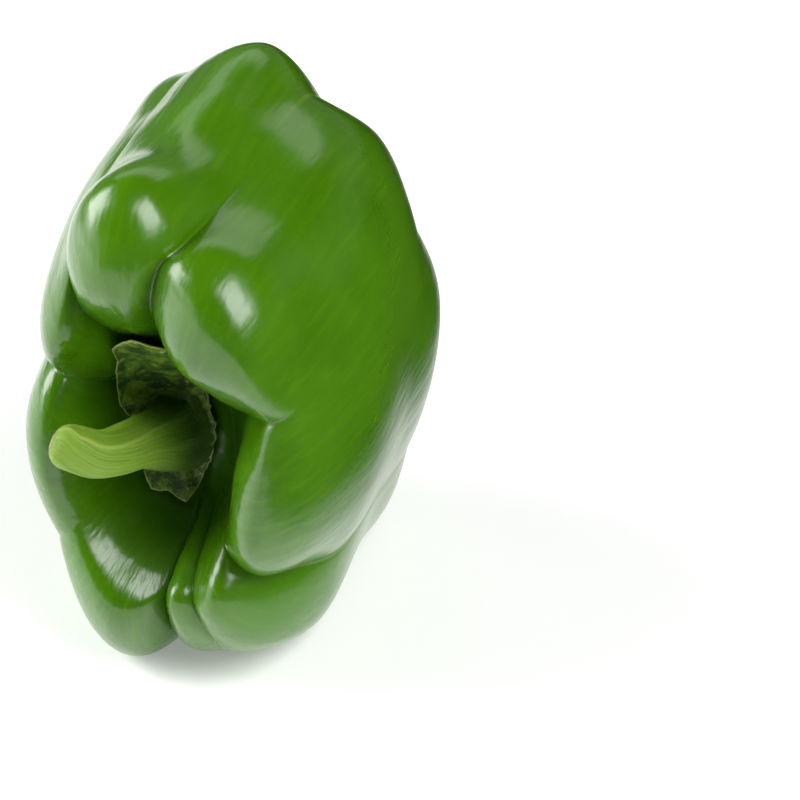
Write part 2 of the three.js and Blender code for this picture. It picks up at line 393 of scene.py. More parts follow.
@dataclass(frozen=True)
class SkinFinish:
    """Waxy green skin with faint lengthwise streaks, fine pores, pale lines in the creases that are a
    painted highlight, and painted shade in the stem hollow.
    """

    deep: Triple = (46, 90, 3)
    cloud_tint: Tint = Tint((66, 116, 2), Spread(0.25, 0.6, 0.35, 1.0))
    streak_tint: Tint = Tint((90, 136, 6), Spread(0.42, 0.75, 0.0, 0.3))
    grain_tint: Tint = Tint((90, 136, 6), Spread(0.45, 0.75, 0.0, 0.1))
    # Painted highlight: a pale line along the bottom of each crease
    crease_highlight_tint: Tint = Tint((120, 158, 40), Spread(0.1, 1.0, 0.0, 0.55))
    # Painted shade: the stem hollow is darkened back to the deep green
    hollow_shade_tint: Tint = Tint((46, 90, 3), Spread(0.0, 1.0, 0.0, 0.75))
    scar_tint: Tint = Tint((150, 160, 62), Spread(0.1, 0.9, 0.0, 0.8))
    speck_tint: Tint = Tint((84, 58, 30), Spread(0.82, 0.92))
    streaks: Pattern = Pattern(3.0, 4.0, 0.6, stretch=(9, 9, 0.5))
    clouds: Pattern = Pattern(38.0)
    grain: Pattern = Pattern(1500.0, 2.0)
    ripples: Pattern = Pattern(2.2, 2.0, stretch=(5, 5, 0.8))
    pore_scale: float = 900.0
    ripple_relief: Relief = Relief(0.0008, Spread(0.0, 0.8, 0.35, 0.0))
    streak_relief: Relief = Relief(0.0003, Spread(0.0, 0.6, 0.24, 0.0))
    pore_relief: Relief = Relief(0.00006, 0.03)
    roughness: Spread = Spread(0.3, 0.7, 0.2, 0.25)
    ior: float = 1.45
    specular: float = 0.5
    coat: float = 0.4
    coat_roughness: float = 0.15

    def make(self) -> bpy.types.Material:
        """Builds the material.

        Returns:
            The finished material.
        """
        finish = Finish("pepper_skin")
        place = finish.object_place()
        flow = finish.attribute("flow", vector=True)
        streaks = finish.speckle(flow, self.streaks)
        clouds = finish.speckle(place, self.clouds)
        hollow = finish.attribute("hollow")
        scar = finish.attribute("scar")
        tone = linear(*self.deep)
        for value, tint in (
            (clouds, self.cloud_tint),
            (streaks, self.streak_tint),
            (finish.speckle(place, self.grain), self.grain_tint),
            # painted highlight along the crease bottoms
            (finish.attribute("crease_highlight"), self.crease_highlight_tint),
            # painted shade in the stem hollow
            (hollow, self.hollow_shade_tint),
            (scar, self.scar_tint),
            (scar, self.speck_tint),
        ):
            tone = finish.tinted(tone, value, tint)
        surface = finish.raised(finish.speckle(flow, self.ripples), self.ripple_relief, value=hollow)
        surface = finish.raised(streaks, self.streak_relief, surface, value=hollow)
        surface = finish.raised(finish.pores(place, self.pore_scale), self.pore_relief, surface)
        finish.shade(
            base_color=tone,
            roughness=finish.levels(clouds, self.roughness),
            ior=self.ior,
            specular_ior_level=self.specular,
            coat_weight=self.coat,
            coat_roughness=self.coat_roughness,
            normal=surface,
        )
        return finish.material


@dataclass(frozen=True)
class CalyxFinish:
    """Dark leathery green with pale mottles and a dry light edge."""

    green: Triple = (34, 70, 5)
    patch_tint: Tint = Tint((104, 138, 34), Spread(0.42, 0.62))
    mottle_tint: Tint = Tint((190, 210, 146), Spread(0.6, 0.7, 0.0, 0.75))
    edge_tint: Tint = Tint((172, 186, 92), Spread(0.965, 0.995, 0.0, 0.75))
    patches: Pattern = Pattern(230.0, 5.0, 0.7)
    grain: Pattern = Pattern(620.0, 4.0, 0.7)
    patch_relief: Relief = Relief(0.0012, 0.9)
    grain_relief: Relief = Relief(0.0003, 0.5)
    roughness: Spread = Spread(0.3, 0.7, 0.42, 0.6)
    specular: float = 0.45

    def make(self) -> bpy.types.Material:
        """Builds the material.

        Returns:
            The finished material.
        """
        finish = Finish("calyx_leather")
        place = finish.object_place()
        patches = finish.speckle(place, self.patches)
        grain = finish.speckle(place, self.grain)
        tone = finish.tinted(linear(*self.green), patches, self.patch_tint)
        tone = finish.tinted(tone, grain, self.mottle_tint)
        tone = finish.tinted(tone, finish.attribute("rim"), self.edge_tint)
        surface = finish.raised(patches, self.patch_relief)
        finish.shade(
            base_color=tone,
            roughness=finish.levels(grain, self.roughness),
            specular_ior_level=self.specular,
            normal=finish.raised(grain, self.grain_relief, surface),
        )
        return finish.material


@dataclass(frozen=True)
class StemFinish:
    """Pale yellow-green stalk with fine lengthwise threads, a darker foot and a dry cut end."""

    dark: Triple = (92, 130, 34)
    thread_tint: Tint = Tint((134, 168, 42), Spread(0.3, 0.7, 0.1, 1.0))
    ridge_tint: Tint = Tint((172, 190, 96), Spread(0.4, 1.0, 0.0, 0.5))
    foot_tint: Tint = Tint((64, 98, 20), Spread(0.55, 0.15))
    mottle_tint: Tint = Tint((172, 190, 96), Spread(0.52, 0.74, 0.0, 0.5))
    cut_tint: Tint = Tint((122, 128, 58), Spread(0.2, 0.8))
    pith_tint: Tint = Tint((172, 168, 104), Spread(0.3, 0.7))
    threads: Pattern = Pattern(4.0, 4.0, 0.6, stretch=(6, 6, 0.35))
    grain: Pattern = Pattern(6.0, 4.0, 0.7, stretch=(9, 9, 2.5))
    thread_relief: Relief = Relief(0.0004, 0.55)
    grain_relief: Relief = Relief(0.00012, 0.25)
    roughness: Spread = Spread(0.3, 0.7, 0.42, 0.6)
    specular: float = 0.4
    subsurface: float = 0.08
    subsurface_radius: Triple = (1.0, 1.0, 0.4)
    subsurface_scale: float = 0.0015

    def make(self) -> bpy.types.Material:
        """Builds the material.

        Returns:
            The finished material.
        """
        finish = Finish("stem_stalk")
        flow = finish.attribute("flow", vector=True)
        threads = finish.speckle(flow, self.threads)
        grain = finish.speckle(flow, self.grain)
        tone = linear(*self.dark)
        for value, tint in (
            (threads, self.thread_tint),
            (finish.attribute("ridge"), self.ridge_tint),
            (finish.attribute("along"), self.foot_tint),
            (grain, self.mottle_tint),
            (finish.attribute("cut"), self.cut_tint),
            (finish.attribute("pith"), self.pith_tint),
        ):
            tone = finish.tinted(tone, value, tint)
        surface = finish.raised(threads, self.thread_relief)
        finish.shade(
            base_color=tone,
            roughness=finish.levels(grain, self.roughness),
            specular_ior_level=self.specular,
            subsurface_weight=self.subsurface,
            subsurface_radius=self.subsurface_radius,
            subsurface_scale=self.subsurface_scale,
            normal=finish.raised(grain, self.grain_relief, surface),
        )
        return finish.material


@dataclass(frozen=True)
class FloorFinish:
    """Plain pale table top that is dark to mirror rays outside a round sheet, a painted shade that only
    reflections show.
    """

    pale: Triple = (244, 244, 244)
    # The painted shade that mirror rays see beyond the sheet
    dark: Triple = (20, 20, 20)
    roughness: float = 0.7
    specular: float = 0.2
    glow: float = 0.27
    sheet: float = 0.985
    fade: float = 1.06
    middle: Triple = (0.9, 0.33, 0.0)

    def make(self) -> bpy.types.Material:
        """Builds the material.

        Returns:
            The finished material.
        """
        finish = Finish("pale_floor")
        pale = linear(*self.pale)
        finish.shade(base_color=pale, roughness=self.roughness, specular_ior_level=self.specular)
        finish.shade(emission_color=pale, emission_strength=self.glow)
        reach = finish.tree.nodes.new("ShaderNodeVectorMath")
        reach.operation = "LENGTH"
        finish.set(reach.inputs[0], finish.mapped(finish.object_place(), shift=self.middle))
        far = finish.levels(reach.outputs["Value"], Spread(self.sheet, self.sheet * self.fade))
        # Painted shade: beyond the sheet, mirror rays see a dark floor
        rays = finish.tree.nodes.new("ShaderNodeLightPath")
        mirrored_shade = finish.product(far, rays.outputs["Is Glossy Ray"])
        dark = finish.tree.nodes.new("ShaderNodeBsdfDiffuse")
        dark.inputs["Color"].default_value = linear(*self.dark)
        blend = finish.tree.nodes.new("ShaderNodeMixShader")
        finish.set(blend.inputs[0], mirrored_shade)
        finish.tree.links.new(finish.shader.outputs[0], blend.inputs[1])
        finish.tree.links.new(dark.outputs[0], blend.inputs[2])
        finish.tree.links.new(blend.outputs[0], finish.tree.nodes["Material Output"].inputs["Surface"])
        return finish.material


def finished(name: str, made: bmesh.types.BMesh, material: bpy.types.Material) -> bpy.types.Object:
    """Turns a mesh under construction into an object at the origin.

    Args:
        name: The name of the piece.
        made: The mesh, in metres.
        material: Its finish.

    Returns:
        The object, smooth shaded.
    """
    bmesh.ops.recalc_face_normals(made, faces=made.faces)
    for face in made.faces:
        face.smooth = True
    data = bpy.data.meshes.new(name)
    made.to_mesh(data)
    made.free()
    data.materials.append(material)
    piece = bpy.data.objects.new(name, data)
    bpy.context.scene.collection.objects.link(piece)
    return piece


def dressed(piece: bpy.types.Object, node: str) -> None:
    """Puts a piece in the place of a node of the part and reports it.

    Args:
        piece: The piece.
        node: The node that it stands for.
    """
    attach(piece, "root")
    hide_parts(node)
    LOG.info("%s: %d vertices, %d faces", piece.name, len(piece.data.vertices), len(piece.data.polygons))


@dataclass(frozen=True)
class Station:
    """A ring of the fruit, from the middle of the stem hollow to the blossom end."""

    name: str
    radius: float
    height: float
    side: float
    up: float


@dataclass(frozen=True)
class Lobe:
    """A lobe. The factors scale its radius at the crest, the belly, the lower belly and the heel."""

    name: str
    angle: float
    tip: float
    rim: float
    rise: float = 0.0
    puff: float = 0.0
    wide: float = 1.0
    low: float = 1.0
    heel: float = 1.0
    out: dict[str, float] = field(default_factory=dict)
    along: dict[str, float] = field(default_factory=dict)


@dataclass(frozen=True)
class Crease:
    """The crease after a lobe, with its depth and sharpness from the lip to the tip."""

    angle: float
    mid: float
    tip: float
    depth: tuple[float, ...]
    sharp: tuple[float, ...]
    out: dict[str, float] = field(default_factory=dict)


@dataclass(frozen=True)
class Swelling:
    """A soft swelling of the skin, or a dent where the amount is negative."""

    lobe: str
    across: float
    station: float
    size: float
    amount: float
    forward: float = 0.0


@dataclass(frozen=True)
class Flank:
    """Half a lobe at one row: the bottom of the crease, the middle of the lobe and the form between."""

    valley_radius: float
    valley_height: float
    crest_radius: float
    crest_height: float
    sharp: float
    depth: float
    crease_angle: float
    lobe_angle: float
    side: float
    up: float


STATIONS = (
    Station("floor", 0, 66, 0, -3),
    Station("edge", 9.5, 65.5, 0, -3),
    Station("wall", 16.5, 71, 0, -2),
    Station("lip", 23.5, 83.5, 0, -1),
    Station("crest", 33, 90, 0, 0),
    Station("shoulder", 42.5, 83, 0, 1),
    Station("upper", 47, 66, 1, 2),
    Station("middle", 46, 46, 1, 3),
    Station("lower", 41, 25, 1, 3),
    Station("heel", 29, 7, 1, 2),
    Station("tip", 14, 1, 1, 2),
    Station("dimple", 0, 6, 1, 2),
)
LAST = len(STATIONS) - 1
STATION_NAMES = [station.name for station in STATIONS]
LIP, CREST, SHOULDER = (STATION_NAMES.index(name) for name in ("lip", "crest", "shoulder"))

# The stations between which creases turn to their angles at the belly and at the tip, and lobes at the tip
CREASE_TO_BELLY = (2.5, 5.5)
CREASE_TO_TIP = (6.5, LAST)
LOBE_TO_TIP = (3, LAST)

# The arc of one degree at radius 1, rounded
ARC_PER_DEGREE = 0.0174


@dataclass(frozen=True)
class Unevenness:
    """Random unevenness: its height in millimetres and its fineness."""

    height: float
    fineness: float

    def at(self, place: Vector) -> float:
        """Gives its height at a place."""
        return self.height * noise.noise(place * self.fineness)


@dataclass
class Fruit:
    """The lobed body of the pepper, one closed skin."""

    lobes: tuple[Lobe, ...] = (
        Lobe("B", 45, 54, 1.22, rise=1, puff=2, out={"lip": 1}, along={"lip": -3}),
        Lobe("A", 98, 95, 1.15, puff=1, wide=1.04, low=1.08, heel=1.04, out={"lip": 4, "shoulder": 2}),
        Lobe(
            "G", 131, 130, 0.95, rise=-2, wide=1.02, low=1.07,
            out={"lip": 3, "shoulder": -3, "upper": -2, "middle": 1, "lower": 3},
        ),
        Lobe("F", 180, 185, 0.80, rise=-1, wide=0.85, low=0.98),
        Lobe("E", 252, 248, 0.84, puff=0.3, heel=1.1, out={"shoulder": 3, "middle": 1.5, "lower": 5}),
        Lobe(
            "D", 288, 280, 0.74, rise=-1, wide=0.98, heel=1.1,
            out={"shoulder": 1.5, "middle": 2, "lower": 5.5},
        ),
        Lobe("H", 312, 300, 0.86, wide=1.06, low=1.08, heel=1.08, out={"shoulder": 1, "lower": 1.5}),
        Lobe("C", 363, 357, 1.02, puff=0.5, low=1.07, heel=1.07),
    )
    creases: tuple[Crease, ...] = (
        Crease(88, 75, 76, (4, 7, 8, 5, 3, 3.5, 5, 3), (1, 1, 0.9, 0.3, 0, 0.2, 0.8, 1)),
        Crease(119, 119, 113, (3, 5, 3, 1.5, 1, 2, 4, 3), (1, 1, 1, 0.5, 0.2, 0.4, 0.8, 1)),
        Crease(147, 155, 155, (3, 7, 7, 5, 3, 3, 5, 3), (1, 1, 1, 0.5, 0.2, 0.4, 0.8, 1)),
        Crease(211, 215, 220, (2, 4, 4, 3, 2, 2, 4, 3), (0.3, 0.3, 0.5, 0.5, 0.2, 0.4, 0.8, 1)),
        Crease(277, 272, 268, (3, 7, 6, 5, 3, 3, 5, 3), (1, 1, 1, 0.5, 0.2, 0.4, 0.8, 1)),
        Crease(300, 295, 290, (1, 2.5, 0.8, 0, 0, 0, 0, 0), (1, 1, 0.6, 0, 0, 0, 0, 0)),
        Crease(329, 327, 326, (3, 8, 9, 5, 2.5, 3, 5, 3), (1, 1, 1, 0.6, 0.3, 0.4, 0.8, 1), {"lip": -2}),
        Crease(
            387, 382, 382, (3, 5, 2, 0.5, 0, 1.5, 4, 3), (1, 1, 0.4, 0, 0, 0.3, 0.8, 1),
            {"lip": 5, "wall": 1},
        ),
    )
    swellings: tuple[Swelling, ...] = (
        Swelling("A", 0, 6.3, 8, -2.5),
        Swelling("A", 0, 7.9, 9, 1),
        Swelling("B", 0.45, 3.4, 7, -2, forward=5),
        Swelling("B", 0, 5.8, 10, -1.2),
        Swelling("C", -0.45, 3.6, 8, -1.5, forward=3),
    )
    # How much of a lobe's rim factor its wall and its lip take, where the rim is drawn in or stands out
    drawn_in: tuple[float, float] = (0.5, 0.8)
    standing_out: tuple[float, float] = (0.1, 0.3)
    lip_lift: float = 0.7
    shoulder_lift: float = 0.6
    puff_inset: float = 2.0
    puff_height: float = 76.0
    wall_depth: float = 0.4
    floor_sharp: float = 0.5
    crease_edge: float = 0.4
    # How finely the skin is divided, and how much its columns crowd at the creases
    columns_per_side: int = 20
    rows_per_station: int = 16
    crowding: float = 1.2
    # The painted highlight in a crease, a pale line: its width, the depth that shows it in full, and how
    # it grows to the tip
    line_width: float = 0.9
    line_depth: float = 2.0
    line_start: float = 0.08
    line_growth: tuple[float, float] = (6.0, 9.0)
    # Where the stem hollow ends, in stations: its painted shade and its fainter relief fade out here
    hollow_edge: tuple[float, float] = (1.5, 3.5)
    scar_length: float = 0.6
    finish: SkinFinish = field(default_factory=SkinFinish)

    def __post_init__(self) -> None:
        """Works out the meridians of the lobes and creases."""
        self.crests = [self.lobe_meridian(lobe) for lobe in self.lobes]
        self.valleys = [
            self.crease_meridian(self.crests[i], self.crests[(i + 1) % len(self.lobes)], crease)
            for i, crease in enumerate(self.creases)
        ]

    def lobe_meridian(self, lobe: Lobe) -> Meridian:
        """Gives the middle line of a lobe.

        Args:
            lobe: The lobe.

        Returns:
            The radius and the height at every station.
        """
        swing = lobe.rim - 1
        wall, lip = (1 + swing * share for share in (self.drawn_in if swing < 0 else self.standing_out))
        belly = lobe.wide
        shoulder = (lobe.rim + belly) / 2
        factors = (1, 1, wall, lip, lobe.rim, shoulder, belly, belly, belly * lobe.low, lobe.heel, 1, 1)
        lifts = {LIP: self.lip_lift, CREST: 1.0, SHOULDER: self.shoulder_lift}
        radius = [station.radius * factor for station, factor in zip(STATIONS, factors)]
        height = [station.height + lifts.get(k, 0.0) * lobe.rise for k, station in enumerate(STATIONS)]
        centre = Vector((radius[CREST] - self.puff_inset, self.puff_height))
        for k in lifts:
            away = (Vector((radius[k], height[k])) - centre).normalized() * lobe.puff
            radius[k] += away.x
            height[k] += away.y
        for name, amount in lobe.out.items():
            radius[STATION_NAMES.index(name)] += amount
        for name, amount in lobe.along.items():
            height[STATION_NAMES.index(name)] += amount
        return radius, height

    def crease_meridian(self, before: Meridian, after: Meridian, crease: Crease) -> Meridian:
        """Gives the bottom line of a crease, pressed in from the mean of its two lobes.

        Args:
            before: The middle line of the lobe before it.
            after: The middle line of the lobe after it.
            crease: The crease.

        Returns:
            The radius and the height at every station.
        """
        mean_radius = [(a + b) / 2 for a, b in zip(before[0], after[0])]
        mean_height = [(a + b) / 2 for a, b in zip(before[1], after[1])]
        depth = self.depths(crease)
        radius, height = [], []
        for k in range(len(STATIONS)):
            low, high = max(k - 1, 0), min(k + 1, LAST)
            drop = mean_height[low] - mean_height[high]
            normal = Vector((drop, mean_radius[high] - mean_radius[low])).normalized()
            radius.append(mean_radius[k] - depth[k] * normal.x)
            height.append(mean_height[k] - depth[k] * normal.y)
        for name, amount in crease.out.items():
            radius[STATION_NAMES.index(name)] += amount
        return [max(value, 0.0) for value in radius], height

    def depths(self, crease: Crease) -> tuple[float, ...]:
        """Gives the depth of a crease at every station."""
        return (0, 0, self.wall_depth * crease.depth[0], *crease.depth, 0)

    def flank(self, lobe_index: int, crease_index: int, s: float) -> Flank:
        """Gives half a lobe at one row.

        Args:
            lobe_index: Which lobe.
            crease_index: Which crease bounds it.
            s: The station, with fractions between stations.

        Returns:
            The half lobe at that row.
        """
        lobe, crease = self.lobes[lobe_index], self.creases[crease_index]
        sharp = curve_through((0, self.floor_sharp, crease.sharp[0], *crease.sharp, 1), s)
        turn = -360 if lobe_index == 0 and crease_index == len(self.creases) - 1 else 0
        crease_angle = crease.angle + (crease.mid - crease.angle) * ease_between(CREASE_TO_BELLY, s)
        crease_angle += (crease.tip - crease.mid) * ease_between(CREASE_TO_TIP, s)
        return Flank(
            *(curve_through(line, s) for line in self.valleys[crease_index] + self.crests[lobe_index]),
            min(max(sharp, 0.0), 1.0),
            curve_through(self.depths(crease), s),
            crease_angle + turn,
            lobe.angle + (lobe.tip - lobe.angle) * ease_between(LOBE_TO_TIP, s),
            curve_through([station.side for station in STATIONS], s),
            curve_through([station.up for station in STATIONS], s),
        )

    def skin_point(self, flank: Flank, inward: float) -> Vector:
        """Gives a point of the skin.

        Args:
            flank: The half lobe at the point's row.
            inward: 0 at the crease and 1 at the middle of the lobe.

        Returns:
            The point, in millimetres.
        """
        dome = 1 - (1 - inward) ** 2
        cusp = mix(dome, math.sqrt(max(dome, 0.0)), self.crease_edge)
        smooth = 0.5 - 0.5 * math.cos(math.pi * inward)
        share = cusp * flank.sharp + smooth * (1 - flank.sharp)
        radius = max(mix(flank.valley_radius, flank.crest_radius, share), 0.0)
        height = mix(flank.valley_height, flank.crest_height, share)
        angle = mix(flank.crease_angle, flank.lobe_angle, inward)
        return placed(angle, radius, height, flank.side, flank.up)

    def swell(self, point: Vector, centres: list[tuple[Vector, Swelling]]) -> Vector:
        """Moves a point by the swellings.

        Args:
            point: The point, in millimetres.
            centres: The middle of each swelling.

        Returns:
            The moved point.
        """
        moved = point.copy()
        for centre, swelling in centres:
            away = Vector((centre.x - AXIS_SIDE, 0, centre.z - AXIS_ABOVE_TABLE)).normalized()
            share = math.exp(-(point - centre).length_squared / (2 * swelling.size**2))
            moved += (away * swelling.amount + Vector((0, -swelling.forward, 0))) * share
        return moved

    def swelling_centres(self) -> list[tuple[Vector, Swelling]]:
        """Gives the middle of each swelling on the skin.

        Returns:
            The middle, in millimetres, and the swelling.
        """
        centres = []
        names = [lobe.name for lobe in self.lobes]
        for swelling in self.swellings:
            index = names.index(swelling.lobe)
            crease_index = (index - 1) % len(self.creases) if swelling.across < 0 else index
            flank = self.flank(index, crease_index, swelling.station)
            centres.append((self.skin_point(flank, 1 - abs(swelling.across)), swelling))
        return centres

    def build(self) -> bpy.types.Object:
        """Shapes a fine ball into the skin and stores what its finish reads.

        Returns:
            The piece.
        """
        columns = 2 * len(self.lobes) * self.columns_per_side
        rows = LAST * self.rows_per_station
        made = bmesh.new()
        bmesh.ops.create_uvsphere(made, u_segments=columns, v_segments=rows, radius=1.0)
        flow = made.verts.layers.float_vector.new("flow")
        names = ("crease_highlight", "hollow", "scar")
        line, hollow, scar = (made.verts.layers.float.new(name) for name in names)
        centres = self.swelling_centres()
        flanks: dict[tuple[int, int], Flank] = {}
        for vertex in made.verts:
            around = math.atan2(vertex.co.y, vertex.co.x) / (2 * math.pi) % 1.0
            column = round(around * columns) % columns
            row = round(math.acos(min(max(vertex.co.z, -1.0), 1.0)) / math.pi * rows)
            side, step = divmod(column, self.columns_per_side)
            lobe_index = side // 2
            rising = side % 2 == 0
            crease_index = (lobe_index - 1) % len(self.creases) if rising else lobe_index
            even = step / self.columns_per_side if rising else 1 - step / self.columns_per_side
            inward = even**self.crowding
            s = row / self.rows_per_station
            key = (side, row)
            if key not in flanks:
                flanks[key] = self.flank(lobe_index, crease_index, s)
            flank = flanks[key]
            point = self.swell(self.skin_point(flank, inward), centres)
            point.z = max(point.z, 0.0)
            turn = math.radians(mix(flank.crease_angle, flank.lobe_angle, inward))
            vertex[flow] = Vector((math.cos(turn), math.sin(turn), s))
            # The painted highlight along the bottom of each crease, growing to the tip
            arc = inward * abs(flank.lobe_angle - flank.crease_angle) * ARC_PER_DEGREE
            shown = bump_at(arc * max(flank.crest_radius, 1.0), self.line_width)
            shown *= min(flank.depth / self.line_depth, 1.0)
            vertex[line] = shown * mix(self.line_start, 1.0, ease_between(self.line_growth, s))
            # 1 in the stem hollow: there the skin gets painted shade and less relief
            vertex[hollow] = 1 - ease_between(self.hollow_edge, s)
            vertex[scar] = 1 - min(max((LAST - s) / self.scar_length, 0.0), 1.0)
            vertex.co = point * MM
        return finished("pepper_fruit", made, self.finish.make())


@dataclass(frozen=True)
class Corner:
    """A corner of the calyx rim: its angle, its distance from the middle and how high it curls."""

    angle: float
    reach: float
    rise: float


@dataclass(frozen=True)
class Wave:
    """A wave of the calyx that grows to the rim: its height, its fineness and the line of its growth."""

    height: float
    fineness: float
    growth: float
    delay: float

    def at(self, share: float) -> float:
        """Gives its height at a share of the way to the rim."""
        return self.height * ease(share * self.growth - self.delay)


@dataclass
class Calyx:
    """The thin ragged cup under the stem."""

    corners: tuple[Corner, ...] = (
        Corner(0, 7.3, 0.3),
        Corner(36, 7.9, 0.3),
        Corner(60, 11.5, 0.8),
        Corner(74, 21, 7.8),
        Corner(85, 26.4, 15.6),
        Corner(90, 27.6, 17),
        Corner(104, 22.9, 13.4),
        Corner(108, 19.2, 10.8),
        Corner(118, 15.2, 8.8),
        Corner(128, 12.2, 7.5),
        Corner(142, 9.7, 6.5),
        Corner(165, 6.6, 3.4),
        Corner(195, 6, 2.6),
        Corner(225, 7.8, 3),
        Corner(248, 11.6, 4.9),
        Corner(252, 12.2, 5),
        Corner(265, 12.4, 3.2),
        Corner(280, 14.2, 3.2),
        Corner(288, 12.3, 0.9),
        Corner(299, 9.9, 0.4),
        Corner(337, 7.2, 0.3),
    )
    columns: int = 320
    rows: int = 72
    height: float = 66.45
    thickness: float = 1.1
    bluntness: float = 0.35
    side: float = -2.5
    up: float = -2.0
    flat: float = 4.5
    curl: float = 1.4
    edge: tuple[Unevenness, ...] = (Unevenness(0.35, 4), Unevenness(0.22, 13))
    buckle: Wave = Wave(0.5, 2.2, growth=1.5, delay=0.5)
    buckle_drift: float = 0.12
    pleats: Wave = Wave(0.14, 17, growth=2, delay=0.6)
    pleat_sway: Unevenness = Unevenness(3, 3)
    finish: CalyxFinish = field(default_factory=CalyxFinish)

    def rim_at(self, angle: float) -> tuple[float, float]:
        """Reads the rim between its corners.

        Args:
            angle: The angle round the calyx, in degrees.

        Returns:
            How far the rim is from the middle, and how high it curls, in millimetres.
        """
        turn = angle % 360
        index = max(k for k, corner in enumerate(self.corners) if corner.angle <= turn)
        first = self.corners[index]
        second = self.corners[(index + 1) % len(self.corners)]
        t = (turn - first.angle) / ((second.angle - first.angle) % 360)
        return mix(first.reach, second.reach, t), mix(first.rise, second.rise, t)

    def build(self) -> bpy.types.Object:
        """Shapes a flat ball into the cup and stores what its finish reads.

        Returns:
            The piece.
        """
        made = bmesh.new()
        bmesh.ops.create_uvsphere(made, u_segments=self.columns, v_segments=self.rows, radius=1.0)
        rim = made.verts.layers.float.new("rim")
        for vertex in made.verts:
            angle = math.degrees(math.atan2(vertex.co.y, vertex.co.x))
            level = vertex.co.z
            share = min(math.hypot(vertex.co.x, vertex.co.y), 1.0)
            reach, rise = self.rim_at(angle)
            turn = math.radians(angle)
            around = Vector((math.cos(turn), math.sin(turn), 0.0))
            reach += sum(uneven.at(around) for uneven in self.edge)
            radius = reach * share
            half = self.thickness / 2 * math.copysign(abs(level) ** self.bluntness, level)
            lift = rise * (max(radius - self.flat, 0) / (reach - self.flat)) ** self.curl
            drifted = around * self.buckle.fineness + Vector((0, 0, radius * self.buckle_drift))
            lift += self.buckle.at(share) * noise.noise(drifted)
            phase = self.pleats.fineness * turn + self.pleat_sway.at(around)
            lift += self.pleats.at(share) * math.sin(phase)
            height = self.height + self.thickness / 2 + lift + half
            middle = Vector((AXIS_SIDE + self.side, AXIS_BACK - height, AXIS_ABOVE_TABLE + self.up))
            point = middle + radius * Vector((around.x, 0, around.y))
            vertex[rim] = share
            vertex.co = point * MM
        return finished("pepper_calyx", made, self.finish.make())


@dataclass(frozen=True)
class Rib:
    """A rib along the stem: its angle at the foot and at the cut, its width and its height."""

    foot: float
    end: float
    width: float
    height: float


